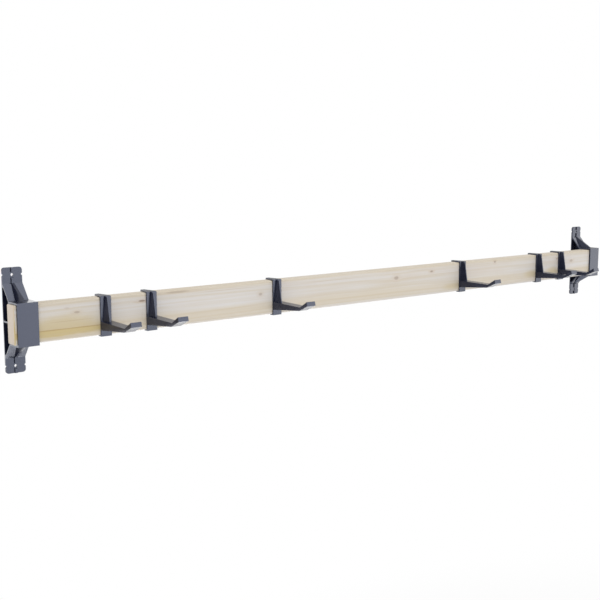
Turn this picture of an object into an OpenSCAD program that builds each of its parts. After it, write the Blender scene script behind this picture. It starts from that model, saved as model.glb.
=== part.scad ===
// Wall hook rack: a timber beam held off the wall by two moulded brackets,
// with six moulded hooks clipped over it that slide along its length.
// Wall plane is Y = 0, the room is on -Y, Z = 0 is the middle of the beam's height.

/* [Beam] */
// Length of the timber beam
beam_length = 2190; // [1900:10:3000]
// Thickness of the beam, from wall side to room side
beam_depth = 38; // [30:1:50]
// Height of the beam
beam_height = 89; // [80:1:120]
// Radius of the beam's eased long edges
beam_edge_r = 3; // [1:0.5:5]

/* [Brackets] */
// Gap between the wall and the back of the beam
wall_gap = 41; // [34:1:60]
// Width of a bracket's socket, along the beam
bracket_width = 50; // [42:1:70]
// Length of beam that shows past the outer side of each bracket
beam_overhang = 5; // [2:1:60]
// Thickness of the walls of the socket round the beam
socket_wall = 4.7; // [3.5:0.1:7]
// Clearance between the beam and each socket wall
socket_gap = 0.3; // [0.2:0.05:0.5]

/* [Bracket arms] */
// Width of a bracket's arms and fixing tabs, along the beam
arm_width = 47.5; // [40:0.5:70]
// Rise of a sloping flange, from the socket's edge to the fixing tab
flange_rise = 36.5; // [30:0.5:50]
// Thickness of a sloping flange
flange_wall = 3; // [2:0.5:4]
// Thickness of the plate that lies against the wall, behind the arms
back_plate = 3; // [2:0.5:4]
// Height of the solid foot where a flange meets its fixing tab
foot_height = 9.5; // [8:0.5:14]
// Thickness of the web down the middle of the arms
web_wall = 3; // [2:0.5:5]
// Thickness of the rib between the wall and the middle of the socket
centre_rib_wall = 4; // [3:0.5:6]
// Reach of an arm's gusset over the socket, from the socket's back edge
gusset_reach = 32; // [20:1:36]
// Width of the gusset at the socket's back edge
gusset_width = 17; // [10:1:24]

/* [Fixing tabs] */
// Length of a fixing tab
tab_length = 36; // [30:0.5:50]
// Thickness of a fixing tab
tab_wall = 5; // [4:0.5:8]
// Radius of a fixing tab's outer corners
tab_corner_r = 7; // [3:0.5:12]
// Distance from a fixing tab's end to the middle of its screw hole
hole_inset = 17; // [13:0.5:20]
// Diameter of the screw hole
hole_d = 6.5; // [4:0.1:8]
// Diameter of the flat pad round the screw hole
pad_d = 13; // [11:0.5:15]
// Radius of the round notch in each side of a fixing tab
notch_r = 2.5; // [1.5:0.5:4]
// Width of the stiffening rib down the middle of a fixing tab
tab_rib_width = 6; // [4:0.5:8]
// Height of that rib above the face of the fixing tab
tab_rib_height = 3; // [1.5:0.5:4]

/* [Beam screws] */
// Shank diameter of the screws that hold the beam in its sockets
screw_d = 4; // [3:0.5:5]
// Length of a beam screw, head included
screw_length = 25; // [20:1:35]
// Head diameter of a beam screw
screw_head_d = 8; // [7:0.5:9]
// Height of a beam screw's countersunk head
screw_head_height = 2.6; // [2:0.2:3]
// Clearance round a beam screw in its hole
screw_gap = 0.05; // [0.03:0.01:0.1]
// Distance between the two screws of one bracket
screw_pitch = 26; // [20:1:30]

/* [Hook places] */
// Distance between the two inner hooks
inner_hook_pitch = 734; // [300:2:1100]
// Distance from a bracket's middle to its nearest hook
outer_hook_inset = 192; // [60:1:250]
// Distance between the two hooks of an outer pair
pair_pitch = 123; // [60:1:160]

/* [Hook clip] */
// Width of a hook
hook_width = 28; // [24:0.5:36]
// Thickness of a hook's upright plate
plate_wall = 3.7; // [3:0.1:5]
// Running clearance between a hook and the beam
hook_gap = 0.3; // [0.2:0.05:0.5]
// Thickness of the clip's top, over the beam
top_wall = 3.5; // [2.5:0.1:5]
// Width of the clip's tongue, at the back of the beam
tongue_width = 11; // [8:0.5:16]
// Thickness of the lip that the tongue turns down behind the beam
lip_wall = 2.2; // [1.6:0.1:3]
// Drop of that lip below the beam's top
lip_drop = 8; // [5:0.5:14]
// Reach of the clip's foot under the beam
foot_reach = 10; // [6:0.5:16]
// Thickness of the clip's foot
foot_wall = 2.7; // [2:0.1:4]

/* [Hook arm] */
// Reach of the arm from the face of the plate to the tip
arm_reach = 142; // [110:1:180]
// Reach of the arm from the face of the plate to the bend
bend_reach = 112; // [85:1:125]
// Height of the arm's top below the middle of the beam, at the plate
arm_drop = 11.5; // [6:0.5:16]
// Fall of the arm's top from the plate to the bend
arm_fall = 2; // [0:0.5:5]
// Depth of the arm at the plate
arm_root_depth = 21.5; // [18:0.5:26]
// Depth of the arm at the bend
arm_bend_depth = 9.5; // [7:0.5:12]
// Rise of the tip's top above the bend
tip_rise = 17; // [10:0.5:30]
// Depth of the tip's front face
tip_depth = 11; // [8:0.5:14]
// Lean of the tip's front face
tip_lean = 3; // [0:0.5:5]

/* [Hook rib] */
// Distance of the rib's top below the top of the plate
rib_top_inset = 0.5; // [0.5:0.5:8]
// Width of the rib's foot against the plate, at the rib's top
rib_top_width = 11; // [8:0.5:14]
// Width of the rib's foot against the plate, at the arm
rib_base_width = 22; // [16:0.5:24]
// Width of the rib's front edge
rib_edge_width = 3; // [2:0.5:5]
// Reach of the rib at its top
rib_top_reach = 8.5; // [4:0.5:14]
// Reach of the rib at the arm
rib_base_reach = 19; // [14:0.5:26]
// Height of the rounding at the rib's top
rib_top_round = 4; // [2:0.5:6]

/* [Hidden] */
$fn = 64;
eps = 0.01;

beam_back = -wall_gap;
beam_front = beam_back - beam_depth;
beam_top = beam_height / 2;
bracket_x = beam_length / 2 - beam_overhang - bracket_width / 2;

socket_back = beam_back + socket_gap + socket_wall;
socket_front = beam_front - socket_gap - socket_wall;
socket_top = beam_top + socket_gap + socket_wall;

tab_foot = socket_top + flange_rise;
tab_end = tab_foot + tab_length;
hole_z = tab_end - hole_inset;

// A flange slopes from the fixing tab's face to the socket's back edge
flange_run = -socket_back - tab_wall;
flange_length = norm([flange_run, flange_rise]);
flange_depth = flange_wall * flange_length / flange_rise;
flange_height = flange_wall * flange_length / flange_run;

plate_back = beam_front - hook_gap;
plate_front = plate_back - plate_wall;
plate_top = beam_top + hook_gap + top_wall;
plate_foot = beam_top + hook_gap + foot_wall;
lip_back = beam_back + hook_gap + lip_wall;

arm_top = -arm_drop;
bend_top = arm_top - arm_fall;
tip_top = bend_top + tip_rise;
rib_top = plate_top - rib_top_inset;

inner_hook_x = inner_hook_pitch / 2;
outer_hook_x = bracket_x - outer_hook_inset;
middle_hook_x = outer_hook_x - pair_pitch;

plastic_colour = [0.24, 0.25, 0.30];
hook_colour = [0.21, 0.22, 0.26];
timber_colour = [0.80, 0.72, 0.60];
steel_colour = [0.62, 0.63, 0.65];

// Extrudes a drawing of the side view (first axis Y, second axis Z) along X
module side_extrude(width) {
    translate([-width / 2, 0, 0])
        rotate([90, 0, 90])
            linear_extrude(width)
                children();
}

// Extrudes a drawing of the front view (first axis X, second axis Z) towards the room
module front_extrude(depth) {
    rotate([90, 0, 0])
        linear_extrude(depth)
            children();
}

// A rectangle from one corner to the other
module rectangle(low, high) {
    translate(low)
        square([high[0] - low[0], high[1] - low[1]]);
}

// The two screws that run up through the bottom of one socket into the beam
module at_beam_screws() {
    for (x = [-screw_pitch / 2, screw_pitch / 2])
        translate([x, beam_back - beam_depth / 2, -socket_top])
            children();
}

module beam_section() {
    middle = [beam_back - beam_depth / 2, 0];
    corner = [beam_depth / 2 - beam_edge_r, beam_top - beam_edge_r];
    translate(middle) {
        square([beam_depth, 2 * corner[1]], center = true);
        square([2 * corner[0], beam_height], center = true);
        for (side = [-1, 1], end = [-1, 1])
            translate([side * corner[0], end * corner[1]])
                circle(beam_edge_r);
    }
}

module beam() {
    color(timber_colour)
        difference() {
            side_extrude(beam_length) beam_section();
            for (x = [-bracket_x, bracket_x])
                translate([x, 0, 0])
                    at_beam_screws()
                        cylinder(h = screw_length + screw_gap, d = screw_d + 2 * screw_gap);
        }
}

// Side view of both arms, between the wall and the socket
module arm_outline() {
    polygon([
        [0, tab_foot],
        [-tab_wall, tab_foot],
        [socket_back, socket_top],
        [socket_back, -socket_top],
        [-tab_wall, -tab_foot],
        [0, -tab_foot]
    ]);
}

// Side view of the pocket in the upper arm, inside its flange, foot and back plate
module pocket_outline() {
    pocket_top = tab_foot - foot_height;
    polygon([
        [-back_plate, centre_rib_wall / 2],
        [-back_plate, pocket_top],
        [flange_depth - tab_wall - foot_height * flange_run / flange_rise, pocket_top],
        [socket_back, socket_top - flange_height],
        [socket_back - eps, centre_rib_wall / 2]
    ]);
}

// The arms are pocketed from both sides, as far as the web between the pockets
module arms() {
    side_extrude(web_wall) arm_outline();
    side_extrude(arm_width)
        difference() {
            arm_outline();
            for (end = [-1, 1])
                scale([1, end])
                    pocket_outline();
        }
}

function gusset_half_width(depth) =
    (tab_rib_width + (gusset_width - tab_rib_width) * depth / gusset_reach) / 2;

// One level of the gusset: from its crest to a depth behind the crest
module gusset_level(z, crest, depth) {
    translate([0, 0, z])
        linear_extrude(eps)
            polygon([
                [-gusset_half_width(depth), crest + depth],
                [gusset_half_width(depth), crest + depth],
                [gusset_half_width(0), crest],
                [-gusset_half_width(0), crest]
            ]);
}

// The gusset carries the fixing tab's rib on down the flange and over the socket
module gusset() {
    root = flange_depth / 2;
    hull() {
        gusset_level(
            tab_foot - eps,
            -tab_wall - tab_rib_height,
            tab_rib_height + root
        );
        gusset_level(
            socket_top - eps,
            socket_back - gusset_reach,
            gusset_reach + root
        );
    }
}

// The fixing tab, seen from the front
module tab_outline() {
    half = arm_width / 2;
    difference() {
        union() {
            rectangle([-half, tab_foot - eps], [half, tab_end - tab_corner_r]);
            rectangle([-half + tab_corner_r, tab_foot], [half - tab_corner_r, tab_end]);
            for (side = [-1, 1])
                translate([side * (half - tab_corner_r), tab_end - tab_corner_r])
                    circle(tab_corner_r);
        }
        for (side = [-1, 1])
            translate([side * half, hole_z])
                circle(notch_r);
    }
}

module tab() {
    difference() {
        union() {
            front_extrude(tab_wall) tab_outline();
            difference() {
                front_extrude(tab_wall + tab_rib_height)
                    rectangle(
                        [-tab_rib_width / 2, tab_foot],
                        [tab_rib_width / 2, tab_end]
                    );
                translate([0, -tab_wall, hole_z])
                    rotate([90, 0, 0])
                        cylinder(h = tab_rib_height + eps, d = pad_d);
            }
        }
        translate([0, eps, hole_z])
            rotate([90, 0, 0])
                cylinder(h = tab_wall + 2 * eps, d = hole_d);
    }
}

module socket() {
    difference() {
        side_extrude(bracket_width)
            difference() {
                rectangle([socket_front, -socket_top], [socket_back, socket_top]);
                rectangle(
                    [beam_front - socket_gap, -beam_top - socket_gap],
                    [beam_back + socket_gap, beam_top + socket_gap]
                );
            }
        at_beam_screws() {
            translate([0, 0, -eps])
                cylinder(h = socket_wall + 2 * eps, d = screw_d + 2 * screw_gap);
            translate([0, 0, -eps])
                cylinder(
                    h = screw_head_height + eps,
                    d1 = screw_head_d + 2 * screw_gap,
                    d2 = screw_d + 2 * screw_gap
                );
        }
    }
}

module bracket() {
    color(plastic_colour) {
        socket();
        arms();
        for (end = [-1, 1])
            scale([1, 1, end]) {
                gusset();
                tab();
            }
    }
}

module left_bracket() {
    translate([-bracket_x, 0, 0]) bracket();
}

module right_bracket() {
    translate([bracket_x, 0, 0]) bracket();
}

module beam_screws() {
    color(steel_colour)
        for (x = [-bracket_x, bracket_x])
            translate([x, 0, 0])
                at_beam_screws() {
                    cylinder(h = screw_head_height, d1 = screw_head_d, d2 = screw_d);
                    cylinder(h = screw_length, d = screw_d);
                }
}

// The clip's top seen from above: full width at the plate, narrow at the back of the beam
module clip_top() {
    translate([0, 0, beam_top + hook_gap])
        linear_extrude(top_wall)
            polygon([
                [-hook_width / 2, plate_front],
                [hook_width / 2, plate_front],
                [hook_width / 2, plate_back],
                [tongue_width / 2, beam_back + hook_gap],
                [tongue_width / 2, lip_back],
                [-tongue_width / 2, lip_back],
                [-tongue_width / 2, beam_back + hook_gap],
                [-hook_width / 2, plate_back]
            ]);
}

module clip() {
    clip_top();
    side_extrude(tongue_width)
        rectangle([beam_back + hook_gap, beam_top - lip_drop], [lip_back, plate_top]);
    side_extrude(hook_width) {
        rectangle([plate_front, -plate_foot], [plate_back, plate_top]);
        rectangle([plate_front, -plate_foot], [beam_front + foot_reach, -beam_top - hook_gap]);
    }
}

module arm() {
    side_extrude(hook_width)
        polygon([
            [plate_back, arm_top],
            [plate_front - bend_reach, bend_top],
            [plate_front - arm_reach + tip_lean, tip_top],
            [plate_front - arm_reach, tip_top - tip_depth],
            [plate_front - bend_reach + tip_lean, bend_top - arm_bend_depth],
            [plate_back, arm_top - arm_root_depth]
        ]);
}

// One level of the rib: a trapezium from the plate to the rib's front edge
module rib_level(z, width, reach) {
    translate([0, 0, z])
        linear_extrude(eps)
            polygon([
                [-width / 2, plate_back],
                [width / 2, plate_back],
                [rib_edge_width / 2, plate_front - reach],
                [-rib_edge_width / 2, plate_front - reach]
            ]);
}

module rib() {
    hull() {
        rib_level(rib_top, rib_top_width - rib_top_round, rib_top_reach / 2);
        rib_level(rib_top - rib_top_round, rib_top_width, rib_top_reach);
        rib_level(arm_top - arm_fall, rib_base_width, rib_base_reach);
    }
}

module hook() {
    color(hook_colour) {
        clip();
        arm();
        rib();
    }
}

module hook_1() {
    translate([-outer_hook_x, 0, 0]) hook();
}

module hook_2() {
    translate([-middle_hook_x, 0, 0]) hook();
}

module hook_3() {
    translate([-inner_hook_x, 0, 0]) hook();
}

module hook_4() {
    translate([inner_hook_x, 0, 0]) hook();
}

module hook_5() {
    translate([middle_hook_x, 0, 0]) hook();
}

module hook_6() {
    translate([outer_hook_x, 0, 0]) hook();
}

beam();
left_bracket();
right_bracket();
beam_screws();
hook_1();
hook_2();
hook_3();
hook_4();
hook_5();
hook_6();
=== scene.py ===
import math

import bmesh
import bpy
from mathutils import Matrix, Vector


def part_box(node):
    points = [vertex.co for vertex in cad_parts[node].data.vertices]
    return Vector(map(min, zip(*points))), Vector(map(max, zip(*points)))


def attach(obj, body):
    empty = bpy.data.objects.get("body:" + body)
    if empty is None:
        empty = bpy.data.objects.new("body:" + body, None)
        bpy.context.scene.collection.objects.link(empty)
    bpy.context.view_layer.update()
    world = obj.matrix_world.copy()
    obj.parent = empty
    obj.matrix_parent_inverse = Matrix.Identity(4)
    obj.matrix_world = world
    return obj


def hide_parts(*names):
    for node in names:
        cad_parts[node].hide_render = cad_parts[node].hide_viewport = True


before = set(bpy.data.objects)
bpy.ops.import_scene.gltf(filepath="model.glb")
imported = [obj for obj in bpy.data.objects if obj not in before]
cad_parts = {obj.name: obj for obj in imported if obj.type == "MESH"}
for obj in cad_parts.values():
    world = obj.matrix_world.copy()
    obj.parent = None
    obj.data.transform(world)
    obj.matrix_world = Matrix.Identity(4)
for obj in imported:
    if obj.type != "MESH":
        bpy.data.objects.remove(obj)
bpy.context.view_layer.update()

collection = bpy.context.scene.collection
pureWhite = (1, 1, 1, 1)


class Link:  # one output socket, with arithmetic that adds Math nodes
    def __init__(self, maker, socket):
        self.maker = maker
        self.socket = socket

    def calc(self, operation, first, second):
        return self.maker.add("ShaderNodeMath", {"operation": operation}, {0: first, 1: second})

    def __add__(self, other):
        return self.calc("ADD", self, other)

    def __radd__(self, other):
        return self.calc("ADD", other, self)

    def __sub__(self, other):
        return self.calc("SUBTRACT", self, other)

    def __rsub__(self, other):
        return self.calc("SUBTRACT", other, self)

    def __mul__(self, other):
        return self.calc("MULTIPLY", self, other)

    def __rmul__(self, other):
        return self.calc("MULTIPLY", other, self)

    def __truediv__(self, other):
        return self.calc("DIVIDE", self, other)

    def __rtruediv__(self, other):
        return self.calc("DIVIDE", other, self)

    def __pow__(self, other):
        return self.calc("POWER", self, other)

    def __rpow__(self, other):
        return self.calc("POWER", other, self)

    def __mod__(self, other):
        return self.calc("MODULO", self, other)

    def __rmod__(self, other):
        return self.calc("MODULO", other, self)

    def __abs__(self):
        return self.calc("ABSOLUTE", self, 0)

    def larger(self, other):
        return self.calc("MAXIMUM", self, other)


class Maker:  # builds one node tree
    def __init__(self, tree):
        self.tree = tree
        tree.nodes.clear()

    def add(self, kind, settings, inputs, output=0):
        node = self.tree.nodes.new(kind)
        for name, value in settings.items():
            setattr(node, name, value)
        for name, value in inputs.items():
            if isinstance(value, Link):
                self.tree.links.new(value.socket, node.inputs[name])
            else:
                node.inputs[name].default_value = value
        if node.outputs:
            return Link(self, node.outputs[output])

    def outputs(self, link, *names):  # other outputs of the node that a link comes from
        return [Link(self, link.socket.node.outputs[name]) for name in names]

    def place(self):  # where a point is on the object
        return self.add("ShaderNodeTexCoord", {}, {}, "Object")

    def noise(self, place, fineness, detail, roughness):
        mapped = self.add(
            "ShaderNodeMapping", {"vector_type": "POINT"}, {"Vector": place, "Scale": fineness},
        )
        return self.add(
            "ShaderNodeTexNoise", {"noise_dimensions": "3D"},
            {"Vector": mapped, "Scale": 1, "Detail": detail, "Roughness": roughness}, "Fac",
        )

    def ramped(self, value, low, high, start=0.0, end=1.0):
        return self.add(
            "ShaderNodeMapRange", {"interpolation_type": "SMOOTHSTEP", "clamp": True},
            {"Value": value, "From Min": low, "From Max": high, "To Min": start, "To Max": end},
        )

    def mixed(self, share, first, second):  # inputs 6 and 7 and output 2 are the node's colours
        return self.add(
            "ShaderNodeMix", {"data_type": "RGBA", "clamp_factor": True},
            {0: share, 6: first, 7: second}, 2,
        )

    def layered(self, colour, layers):  # colours laid one over the other, each by its share
        for share, tint in layers:
            colour = self.mixed(share, colour, tint)
        return colour

    def bump(self, height, strength, depth):
        return self.add(
            "ShaderNodeBump", {}, {"Strength": strength, "Distance": depth, "Height": height},
        )


def newMaterial(name):
    material = bpy.data.materials.new(name)
    material.use_nodes = True
    return material, Maker(material.node_tree)


def tone(red, green, blue):  # a colour as a paint card gives it, 0 to 255, made linear
    return tuple(((c / 255 + 0.055) / 1.055) ** 2.4 for c in (red, green, blue)) + (1,)


def swing(noise, amount):  # a noise of 0 to 1 made to rise and fall about 0
    return (noise - 0.5) * amount


cameraSetup = {
    "location": (-1.9402, -2.1165, 0.3614),
    "turn": (81.83, 0, -39.07),  # degrees
    "lens": 58.5,  # millimetres, as is the sensor
    "sensorWidth": 36,
    "nearest": 0.05,
    "farthest": 60,
}


def makeCamera(setup):
    data = bpy.data.cameras.new("camera")
    data.lens = setup["lens"]
    data.sensor_width = setup["sensorWidth"]
    data.clip_start = setup["nearest"]
    data.clip_end = setup["farthest"]
    camera = bpy.data.objects.new("camera", data)
    camera.location = setup["location"]
    camera.rotation_euler = [math.radians(angle) for angle in setup["turn"]]
    collection.objects.link(camera)
    bpy.context.scene.camera = camera


makeCamera(cameraSetup)
print("camera placed")


def finishPiece(shape, name, material, body, node):
    mesh = bpy.data.meshes.new(name)
    shape.to_mesh(mesh)
    shape.free()
    mesh.materials.append(material)
    piece = bpy.data.objects.new(name, mesh)
    collection.objects.link(piece)
    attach(piece, body)
    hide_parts(node)
    return piece


def isSharp(edge, degrees):
    return len(edge.link_faces) == 2 and edge.calc_face_angle(0) > math.radians(degrees)


def shadeByAngle(shape, degrees):
    for face in shape.faces:
        face.smooth = True
    for edge in shape.edges:
        edge.smooth = not isSharp(edge, degrees)


def roundEdges(shape, edges, radius, segments, clamp=False):
    bmesh.ops.bevel(
        shape, geom=edges, offset=radius, offset_type="OFFSET", segments=segments, profile=0.5,
        affect="EDGES", clamp_overlap=clamp, material=-1,
    )


def cornersOf(parts):
    return [part for part in parts if isinstance(part, bmesh.types.BMVert)]


def edgesOf(parts):
    return [part for part in parts if isinstance(part, bmesh.types.BMEdge)]


timberBeam = {
    "edgeRadius": 0.003,
    "edgeSegments": 4,
    "endChamfer": 0.0008,
    "endSegments": 2,
    "sharpFrom": 35,  # degrees between two faces whose edge still looks sharp

    "pale": tone(220, 217, 216),
    "warm": tone(214, 203, 184),
    "latewood": tone(198, 180, 144),
    "resin": tone(203, 183, 128),
    "pitch": tone(172, 140, 84),
    "knotHeart": tone(120, 88, 58),
    "knotHalo": tone(190, 162, 132),
    "blush": tone(208, 190, 178),
    "endPale": tone(226, 214, 200),
    "endRing": tone(200, 178, 150),
    "endSawn": tone(192, 174, 152),
    "endEdge": tone(204, 182, 120),

    # each noise: fineness along, into and up the beam, detail, roughness
    "noises": {
        "ripple": ((14, 60, 60), 3, 0.6),  # makes the marks' rims uneven
        "wander": ((0.9, 4, 4), 3, 0.5),  # the year rings' long waves
        "swirl": ((6, 22, 22), 2, 0.5),  # the year rings' short waves
        "fibre": ((7, 420, 420), 3, 0.65),
        "streaks": ((2.2, 60, 60), 3, 0.6),
        "threads": ((1.6, 170, 170), 3, 0.65),
        "patches": ((2.4, 9, 16), 3, 0.5),
        "blush": ((3.1, 12, 22), 2, 0.5),
        "sawn": ((300, 900, 90), 2, 0.6),  # the saw's marks across the end grain
    },

    "pith": (0.012, 0.003),  # depth and height of the tree's heart, behind the beam
    "ringSpacing": 0.0036,
    "ringWander": 0.010,
    "ringSwirl": 0.0008,
    "ringPush": 0.0022,  # how far a knot pushes the rings aside
    "latewoodStart": (0.45, 0.93),  # shares of a ring where its dark part starts and is full
    "latewoodEnd": (1.0, 0.95),  # and where it has ended and is still full

    # each mark: place along and up the beam, half length, half height, strength
    "roomKnots": [
        (-0.970, 0.028, 0.008, 0.003, 0.12),
        (-0.945, 0.016, 0.008, 0.003, 0.35),
        (-0.775, 0.027, 0.011, 0.003, 0.70),
        (-0.675, 0.040, 0.040, 0.003, 0.30),
        (-0.420, 0.012, 0.007, 0.004, 0.35),
        (0.080, 0.017, 0.010, 0.006, 0.42),
        (0.230, 0.026, 0.008, 0.004, 0.50),
        (0.525, 0.036, 0.006, 0.004, 0.50),
        (0.855, 0.025, 0.010, 0.004, 0.35),
        (0.935, 0.014, 0.011, 0.006, 0.35),
    ],
    "wallKnots": [
        (-0.805, -0.015, 0.010, 0.006, 0.60),
        (-0.260, 0.021, 0.008, 0.005, 0.55),
        (0.330, -0.008, 0.011, 0.007, 0.70),
        (0.810, 0.025, 0.007, 0.004, 0.45),
    ],
    "resinStreaks": [
        (-1.000, -0.027, 0.150, 0.0085, 1.00),
        (-0.990, -0.012, 0.140, 0.030, 0.75),
        (0.330, -0.027, 0.050, 0.012, 0.45),
        (0.715, -0.016, 0.045, 0.014, 0.50),
        (0.830, -0.011, 0.035, 0.014, 0.55),
    ],
    "pitchLines": [
        (-0.990, -0.0195, 0.180, 0.0016, 0.60),
        (-0.960, -0.002, 0.060, 0.0012, 0.25),
        (-0.520, 0.033, 0.110, 0.0012, 0.30),
        (-0.150, 0.030, 0.130, 0.0012, 0.30),
        (0.190, 0.033, 0.090, 0.0012, 0.25),
    ],
    # a mark's half depth, how uneven its rim is, where it starts and is full: 1 is its rim
    "knotStyle": {"depth": 0.012, "uneven": 0.9, "heart": (1.05, 0.45), "halo": (2.8, 0.7)},
    "resinStyle": {"depth": 0.06, "uneven": 0.7, "fade": (1.25, 0.35)},
    "pitchStyle": {"depth": 0.02, "uneven": 0.8, "fade": (1.3, 0.3)},

    # each band of warmer colour: its height, how far it reaches, how far it is full, its share
    "warmBands": [(-0.025, 0.026, 0.004, 0.85), (0.042, 0.009, 0.001, 0.8)],
    "patchSwing": 0.9,
    "blushFrom": (0.52, 0.72),  # levels of its noise where it starts and is full
    "blushShare": 0.25,
    "resinShare": 0.9,
    "ringShare": 0.12,
    "ringStreakShare": 0.26,
    "streakShare": 0.12,
    "streakSwing": 0.6,
    "threadShare": 0.10,
    "threadSwing": 0.9,
    "haloShare": 0.45,

    "endFade": (0.0012, 0.0006),  # distances from the end where its colour starts and is full
    "endRingShare": 0.45,
    "endSawnShare": 0.2,
    "sapwoodDepth": (0.0045, 0.0025),  # from the room side: none beyond, full within
    "sapwoodHeight": (0.028, -0.01),  # above the first it is weak, below the second full
    "sapwoodWeak": 0.35,

    "roughness": 0.62,
    "fibreRoughness": 0.14,
    "knotPolish": 0.12,
    "fibreRelief": 0.55,
    "ringRelief": 0.35,
    "knotRelief": -0.3,
    "sawnRelief": 0.8,
    "bumpStrength": 0.35,
    "bumpDepth": 0.0004,
}


def spot(maker, place, centre, reach):  # 0 at a spot's middle, 1 at its rim
    away = maker.add("ShaderNodeVectorMath", {"operation": "SUBTRACT"}, {0: place, 1: centre})
    scaled = maker.add(
        "ShaderNodeVectorMath", {"operation": "MULTIPLY"},
        {0: away, 1: tuple(1 / size for size in reach)},
    )
    return maker.add("ShaderNodeVectorMath", {"operation": "LENGTH"}, {0: scaled}, "Value")


def marksOn(maker, place, ripple, rows, face, style):  # how far off each mark is, and its strength
    uneven = swing(ripple, style["uneven"])
    return [
        (spot(maker, place, (along, face, up), (length, style["depth"], height)) + uneven, strength)
        for along, up, length, height, strength in rows
    ]


def painted(maker, marks, rim, core):  # the marks' strengths added up, each fading from core to rim
    return sum(maker.ramped(away, rim, core, 0, strength) for away, strength in marks)


def timberMarks(maker, place, ripple, look, low, high):
    knots = marksOn(maker, place, ripple, look["roomKnots"], low.y, look["knotStyle"])
    knots += marksOn(maker, place, ripple, look["wallKnots"], high.y, look["knotStyle"])
    resin = marksOn(maker, place, ripple, look["resinStreaks"], low.y, look["resinStyle"])
    pitch = marksOn(maker, place, ripple, look["pitchLines"], low.y, look["pitchStyle"])
    return {
        "heart": painted(maker, knots, *look["knotStyle"]["heart"]),
        "halo": painted(maker, knots, *look["knotStyle"]["halo"]),
        "resin": painted(maker, resin, *look["resinStyle"]["fade"]),
        "pitch": painted(maker, pitch, *look["pitchStyle"]["fade"]),
    }


def yearRings(maker, look, noise, y, z, halo):  # 1 in the dark part of each ring
    depth = y - look["pith"][0]
    height = z - look["pith"][1]
    radius = (depth * depth + height * height) ** 0.5
    radius = radius + swing(noise["wander"], look["ringWander"])
    radius = radius + swing(noise["swirl"], look["ringSwirl"])
    radius = radius + halo * look["ringPush"]
    ring = (radius / look["ringSpacing"] + 100) % 1  # the 100 keeps it above zero at the pith
    return maker.ramped(ring, *look["latewoodStart"]) * maker.ramped(ring, *look["latewoodEnd"])


def sideColour(maker, look, noise, mark, latewood, z):
    warmth = sum(
        maker.ramped(abs(z - height), reach, full) * share
        for height, reach, full, share in look["warmBands"]
    )
    warmth = warmth + swing(noise["patches"], look["patchSwing"])
    blush = maker.ramped(noise["blush"], *look["blushFrom"])
    ringShare = look["ringShare"] + noise["streaks"] * look["ringStreakShare"]
    streaks = look["streakShare"] + swing(noise["streaks"], look["streakSwing"])
    threads = look["threadShare"] + swing(noise["threads"], look["threadSwing"])
    return maker.layered(maker.mixed(warmth, look["pale"], look["warm"]), [
        (blush * look["blushShare"], look["blush"]),
        (mark["resin"] * look["resinShare"], look["resin"]),
        (latewood * ringShare, look["latewood"]),
        (streaks, look["latewood"]),
        (threads, look["latewood"]),
        (mark["pitch"], look["pitch"]),
        (mark["halo"] * look["haloShare"], look["knotHalo"]),
        (mark["heart"], look["knotHeart"]),
    ])


def endColour(maker, look, noise, latewood, depth, z):
    sapwood = maker.ramped(depth, *look["sapwoodDepth"])
    sapwood = sapwood * maker.ramped(z, *look["sapwoodHeight"], look["sapwoodWeak"], 1)
    return maker.layered(look["endPale"], [
        (latewood * look["endRingShare"], look["endRing"]),
        (noise["sawn"] * look["endSawnShare"], look["endSawn"]),
        (sapwood, look["endEdge"]),
    ])


def timberMaterial(look, low, high):  # low and high are the beam's corners
    material, maker = newMaterial("timber")
    place = maker.place()
    x, y, z = maker.outputs(maker.add("ShaderNodeSeparateXYZ", {}, {0: place}), "X", "Y", "Z")
    noise = {name: maker.noise(place, *row) for name, row in look["noises"].items()}
    mark = timberMarks(maker, place, noise["ripple"], look, low, high)
    latewood = yearRings(maker, look, noise, y, z, mark["halo"])
    atEnd = maker.ramped(abs(x), *(high.x - distance for distance in look["endFade"]))
    colour = maker.layered(sideColour(maker, look, noise, mark, latewood, z), [
        (atEnd, endColour(maker, look, noise, latewood, y - low.y, z)),
    ])
    relief = (
        noise["fibre"] * look["fibreRelief"] + latewood * look["ringRelief"]
        + mark["heart"] * look["knotRelief"] + atEnd * noise["sawn"] * look["sawnRelief"]
    )
    roughness = look["roughness"] + noise["fibre"] * look["fibreRoughness"]
    shader = maker.add("ShaderNodeBsdfPrincipled", {}, {
        "Base Color": colour,
        "Roughness": roughness - mark["heart"] * look["knotPolish"],
        "Normal": maker.bump(relief, look["bumpStrength"], look["bumpDepth"]),
    })
    maker.add("ShaderNodeOutputMaterial", {}, {"Surface": shader})
    return material


def makeBeam(beam):
    low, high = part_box("beam")
    shape = bmesh.new()
    bmesh.ops.create_cube(shape, size=1)
    bmesh.ops.scale(shape, vec=high - low, verts=shape.verts)
    bmesh.ops.translate(shape, vec=(low + high) / 2, verts=shape.verts)
    longEdges = [  # the four that run along the beam
        edge for edge in shape.edges
        if abs(edge.verts[0].co.x - edge.verts[1].co.x) > beam["edgeRadius"]
    ]
    roundEdges(shape, longEdges, beam["edgeRadius"], beam["edgeSegments"])
    rim = [  # the edges of its two end faces
        edge for edge in shape.edges
        if any(abs(face.normal.x) > 0.9 for face in edge.link_faces)
    ]
    roundEdges(shape, rim, beam["endChamfer"], beam["endSegments"])
    shadeByAngle(shape, beam["sharpFrom"])
    timber = timberMaterial(beam, low, high)
    finishPiece(shape, "timberBeam", timber, "rack", "beam")


makeBeam(timberBeam)
print("beam made")


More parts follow.
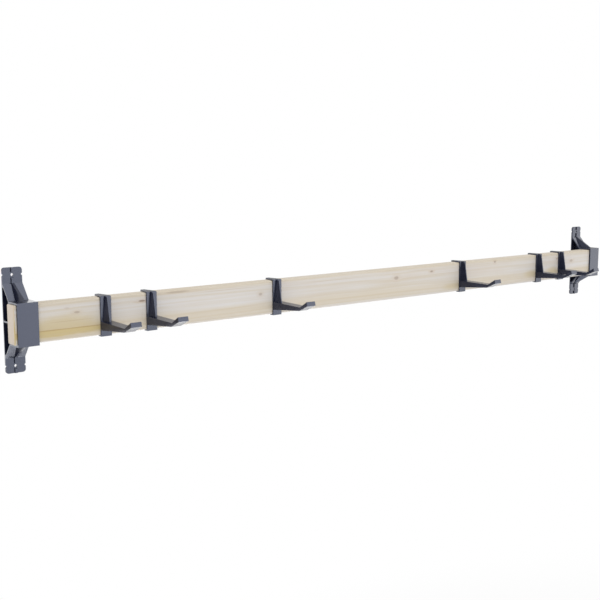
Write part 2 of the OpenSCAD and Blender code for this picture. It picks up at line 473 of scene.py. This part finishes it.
plasticLook = {  # of the brackets and the hooks
    "base": (0.012, 0.014, 0.030, 1),
    "worn": (0.018, 0.021, 0.040, 1),
    "sheen": (0.76, 0.82, 1.0, 1),  # cool cast of its reflections
    "flow": ((28, 28, 45), 3, 0.55),  # fineness along, into and up, detail, roughness
    "wornFrom": (0.35, 0.75),  # levels of the flow where the worn colour starts and is full
    "grainSize": 0.0006,
    "grainDetail": 2,
    "grainRoughness": 0.5,
    "roughness": 0.2,
    "flowSwing": 0.12,
    "grainSwing": 0.06,
    "bumpStrength": 0.08,
    "bumpDepth": 0.0001,
}


def plasticMaterial(look):
    material, maker = newMaterial("slatePlastic")
    place = maker.place()
    fineness = (1 / look["grainSize"],) * 3
    grain = maker.noise(place, fineness, look["grainDetail"], look["grainRoughness"])
    flow = maker.noise(place, *look["flow"])
    roughness = look["roughness"] + swing(flow, look["flowSwing"])
    shader = maker.add("ShaderNodeBsdfPrincipled", {}, {
        "Base Color": maker.mixed(maker.ramped(flow, *look["wornFrom"]), look["base"], look["worn"]),
        "Roughness": roughness + swing(grain, look["grainSwing"]),
        "Specular Tint": look["sheen"],
        "Normal": maker.bump(grain, look["bumpStrength"], look["bumpDepth"]),
    })
    maker.add("ShaderNodeOutputMaterial", {}, {"Surface": shader})
    return material


plastic = plasticMaterial(plasticLook)

bracketForm = {
    "edgeRound": 0.0008,
    "segments": 2,
    "roundFrom": 28,  # degrees between two faces whose edge is rounded
    "roundInside": True,  # whether inside corners are rounded as well as outer edges
    "sharpFrom": 30,
}

hookForm = {
    "edgeRound": 0.0004,
    "segments": 2,
    "roundFrom": 28,
    "roundInside": False,
    "plateCorner": 0.0029,  # rounding of the two top corners of a hook's plate
    "cornerSegments": 5,
    "sharpFrom": 30,
}

sameCorner = 0.00001  # corners closer than this are merged
sameFace = 0.5  # faces that turn by fewer degrees than this are merged


def roundPlateCorners(shape, radius, segments):  # the level edges where the top meets each side
    top = max(corner.co.z for corner in shape.verts)
    left = min(corner.co.x for corner in shape.verts)
    right = max(corner.co.x for corner in shape.verts)
    corners = []
    for edge in shape.edges:
        first, last = (corner.co for corner in edge.verts)
        middle = (first + last) / 2
        atSide = min(middle.x - left, right - middle.x) < sameCorner
        atTop = top - min(first.z, last.z) < sameCorner
        if atSide and atTop:
            corners.append(edge)
    roundEdges(shape, corners, radius, segments, clamp=True)


def makeMoulding(node, name, body, form):
    shape = bmesh.new()
    shape.from_mesh(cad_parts[node].data)
    bmesh.ops.remove_doubles(shape, verts=shape.verts, dist=sameCorner)
    bmesh.ops.dissolve_limit(
        shape, angle_limit=math.radians(sameFace), use_dissolve_boundaries=False,
        verts=shape.verts, edges=shape.edges,
    )
    if "plateCorner" in form:
        roundPlateCorners(shape, form["plateCorner"], form["cornerSegments"])
    edges = [
        edge for edge in shape.edges
        if isSharp(edge, form["roundFrom"]) and (edge.is_convex or form["roundInside"])
    ]
    roundEdges(shape, edges, form["edgeRound"], form["segments"], clamp=True)
    shadeByAngle(shape, form["sharpFrom"])
    piece = finishPiece(shape, name, plastic, body, node)
    weighted = piece.modifiers.new("weighted normals", "WEIGHTED_NORMAL")
    weighted.keep_sharp = True


for side in ("left", "right"):
    makeMoulding(side + "_bracket", side + "BracketMoulding", "rack", bracketForm)
print("brackets made")

hookCount = sum(name.startswith("hook_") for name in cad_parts)
for number in range(1, hookCount + 1):
    makeMoulding(f"hook_{number}", f"hookMoulding{number}", f"hook_{number}", hookForm)
print("hooks made")


beamScrews = {
    "headRadius": 0.004,
    "headHeight": 0.0026,
    "headSides": 24,
    "shankRadius": 0.002,
    "pitch": 0.026,  # between the two screws of a bracket
    "slotReach": 0.0023,  # from the middle of the head to the end of a slot
    "slotWidth": 0.001,
    "slotDepth": 0.0014,
    "sharpFrom": 35,
    "zinc": (0.60, 0.61, 0.62, 1),
    "shade": (0.42, 0.43, 0.46, 1),
    "cloud": ((700, 700, 700), 3, 0.6),  # fineness along, into and up, detail, roughness
    "roughness": 0.32,
    "cloudSwing": 0.2,
    "bumpStrength": 0.1,
    "bumpDepth": 0.0001,
}


def screwMaterial(look):
    material, maker = newMaterial("zincSteel")
    cloud = maker.noise(maker.place(), *look["cloud"])
    shader = maker.add("ShaderNodeBsdfPrincipled", {}, {
        "Base Color": maker.mixed(cloud, look["zinc"], look["shade"]),
        "Metallic": 1.0,
        "Roughness": look["roughness"] + swing(cloud, look["cloudSwing"]),
        "Normal": maker.bump(cloud, look["bumpStrength"], look["bumpDepth"]),
    })
    maker.add("ShaderNodeOutputMaterial", {}, {"Surface": shader})
    return material


def raiseRim(shape, edges, lift, spread):  # pulls an open rim up and widens or narrows it
    made = bmesh.ops.extrude_edge_only(shape, edges=edges)["geom"]
    bmesh.ops.translate(shape, vec=(0, 0, lift), verts=cornersOf(made))
    bmesh.ops.scale(shape, vec=(spread, spread, 1), verts=cornersOf(made))
    return edgesOf(made)


def makeCross(shape, form):  # a small square with an arm pulled out of each side
    core = form["slotWidth"] / 2
    bmesh.ops.create_grid(shape, x_segments=1, y_segments=1, size=core)
    for side in list(shape.edges):
        outward = (side.verts[0].co + side.verts[1].co).normalized()
        arm = bmesh.ops.extrude_edge_only(shape, edges=[side])["geom"]
        bmesh.ops.translate(shape, vec=outward * (form["slotReach"] - core), verts=cornersOf(arm))
    return [edge for edge in shape.edges if edge.is_boundary]


def makeScrews(form):
    low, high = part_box("beam_screws")
    shape = bmesh.new()

    # a cross recess: its walls run down to the head's face, which is filled out to a round rim
    slotRim = raiseRim(shape, makeCross(shape, form), -form["slotDepth"], 1)
    bmesh.ops.translate(shape, vec=(0, 0, form["slotDepth"]), verts=shape.verts)
    made = bmesh.ops.create_circle(shape, segments=form["headSides"], radius=form["headRadius"])
    ring = made["verts"]
    headRim = [edge for edge in shape.edges if edge.verts[0] in ring and edge.verts[1] in ring]
    bmesh.ops.triangle_fill(shape, edges=slotRim + headRim, use_beauty=True)

    # cone, shank and tip
    neck = raiseRim(shape, headRim, form["headHeight"], form["shankRadius"] / form["headRadius"])
    tip = raiseRim(shape, neck, high.z - low.z - form["headHeight"], 1)
    bmesh.ops.contextual_create(shape, geom=tip)
    bmesh.ops.recalc_face_normals(shape, faces=shape.faces)

    # one screw is copied to three places, then moved to the first
    screw = list(shape.verts) + list(shape.edges) + list(shape.faces)
    outer = high.x - form["headRadius"]
    inner = outer - form["pitch"]
    places = [(x, (low.y + high.y) / 2, low.z) for x in (-outer, -inner, inner, outer)]
    for place in places[1:]:
        copy = bmesh.ops.duplicate(shape, geom=screw)["geom"]
        bmesh.ops.translate(shape, vec=place, verts=cornersOf(copy))
    bmesh.ops.translate(shape, vec=places[0], verts=cornersOf(screw))
    shadeByAngle(shape, form["sharpFrom"])
    finishPiece(shape, "beamScrews", screwMaterial(form), "rack", "beam_screws")


makeScrews(beamScrews)
print("screws made")


studio = {
    "floorHeight": -1.7,
    "floorSize": 24,
    "floorPaint": (0.86, 0.86, 0.86, 1),
    "shadowShare": 0.2,  # how much of the floor's own shade shows close to the rack
    "shadowReach": (0.6, 1.5),  # it fades to white between these distances
    "shadowStretch": (0.5, 1, 1),  # below 1 the shade reaches further along the rack
    "fillLevel": 0.88,
    "fillColour": (1.0, 1.0, 1.0, 1),
}


def seenDirectly(maker):  # 1 for camera, glossy and transmission rays
    path = maker.add("ShaderNodeLightPath", {}, {})
    camera, glossy, transmission = maker.outputs(
        path, "Is Camera Ray", "Is Glossy Ray", "Is Transmission Ray",
    )
    return camera.larger(glossy).larger(transmission)


def makeSheet(name, size, material):  # a flat stage piece in the XY plane
    shape = bmesh.new()
    bmesh.ops.create_grid(shape, x_segments=1, y_segments=1, size=0.5)
    bmesh.ops.scale(shape, vec=(size[0], size[1], 1), verts=shape.verts)
    mesh = bpy.data.meshes.new(name)
    shape.to_mesh(mesh)
    shape.free()
    mesh.materials.append(material)
    sheet = bpy.data.objects.new(name, mesh)
    collection.objects.link(sheet)
    return sheet


def makeFloor(setup):
    material, maker = newMaterial("studioFloor")
    along = maker.add(
        "ShaderNodeMapping", {"vector_type": "POINT"},
        {"Vector": maker.place(), "Scale": setup["shadowStretch"]},
    )
    away = maker.add("ShaderNodeVectorMath", {"operation": "LENGTH"}, {0: along}, "Value")
    near, far = setup["shadowReach"]
    glowShare = seenDirectly(maker) * (1 - maker.ramped(away, far, near, 0, setup["shadowShare"]))
    paint = maker.add("ShaderNodeBsdfDiffuse", {}, {"Color": setup["floorPaint"]})
    glow = maker.add("ShaderNodeEmission", {}, {"Color": pureWhite, "Strength": 1.0})
    surface = maker.add("ShaderNodeMixShader", {}, {0: glowShare, 1: paint, 2: glow})
    maker.add("ShaderNodeOutputMaterial", {}, {"Surface": surface})
    floor = makeSheet("studioFloor", (setup["floorSize"], setup["floorSize"]), material)
    floor.location.z = setup["floorHeight"]


def makeWorld(setup):
    world = bpy.data.worlds.new("studioWorld")
    bpy.context.scene.world = world
    world.use_nodes = True
    maker = Maker(world.node_tree)
    fill = maker.add(
        "ShaderNodeBackground", {}, {"Color": setup["fillColour"], "Strength": setup["fillLevel"]},
    )
    backdrop = maker.add("ShaderNodeBackground", {}, {"Color": pureWhite, "Strength": 1.0})
    surface = maker.add("ShaderNodeMixShader", {}, {0: seenDirectly(maker), 1: fill, 2: backdrop})
    maker.add("ShaderNodeOutputWorld", {}, {"Surface": surface})


def aim(thing, location, target):  # turned to its target, and out of the camera's sight
    thing.location = location
    thing.rotation_euler = (Vector(target) - Vector(location)).to_track_quat("-Z", "Y").to_euler()
    thing.visible_camera = False


overheadSoftbox = {
    "location": (-1.8, -3.6, 2.9),
    "target": (-0.3, -0.08, 0),
    "size": (5.0, 2.4),
    "radiance": 0.75,
    "colour": (1.0, 0.99, 0.98),
}


def makeLamp(name, setup):
    width, height = setup["size"]
    data = bpy.data.lights.new(name, "AREA")
    data.shape = "RECTANGLE"
    data.size = width
    data.size_y = height
    data.energy = setup["radiance"] * width * height * math.pi
    data.color = setup["colour"]
    lamp = bpy.data.objects.new(name, data)
    aim(lamp, setup["location"], setup["target"])
    collection.objects.link(lamp)


# cards that show only in reflections: dark ones black out a side, pale ones draw an edge
reflectionCards = {  # middle, what it faces, width and height, brightness
    "frontLeft": ((1.96, -4.58, 0.25), (0, -0.1, 0), (3.4, 3.8), 4.3),
    "frontRight": ((4.39, -2.49, 0.25), (0, -0.1, 0), (3.0, 3.8), 3.2),
    "above": ((0.2, -0.9, 2.6), (-0.9, 0, 0), (2.4, 1.8), 4.0),
    "aboveRight": ((4.2, -0.7, 2.4), (1.06, 0, 0), (1.8, 1.8), 3.0),
    "under": ((-0.5, -0.1, -1.1), (-1.0, 0, 0), (1.5, 1.5), 8.0),
    "underRight": ((1.2, 0.6, -0.95), (1.2, 0.3, 0), (3.8, 1.7), 1.4),
    "darkLeft": ((-2.4, -0.6, -0.35), (0, -0.1, 0), (3.0, 1.5), 0.0),
    "darkUpperLeft": ((-2.8, -1.0, 2.3), (1.06, -0.05, 0.1), (2.4, 1.8), 0.0),
    "greyBehind": ((3.9, 3.6, 0.75), (0, -0.1, 0), (6.8, 1.6), 0.45),
    "behind": ((-0.05, 3.4, 0.62), (-0.9, -0.1, 0), (1.3, 1.2), 1.6),
    "behindLeft": ((-2.5, 3.4, -0.4), (-1.06, 0, 0), (1.3, 1.5), 2.4),
}


def makeCard(name, location, target, size, brightness):
    material, maker = newMaterial(name)
    glow = maker.add("ShaderNodeEmission", {}, {"Color": pureWhite, "Strength": brightness})
    maker.add("ShaderNodeOutputMaterial", {}, {"Surface": glow})
    card = makeSheet(name, size, material)
    aim(card, location, target)
    card.visible_diffuse = False
    card.visible_shadow = False
    card.visible_transmission = False
    card.visible_volume_scatter = False


makeFloor(studio)
makeWorld(studio)
makeLamp("overheadSoftbox", overheadSoftbox)
for name, card in reflectionCards.items():
    makeCard(name, *card)
bpy.context.scene.view_settings.view_transform = "Standard"
print("studio lit")
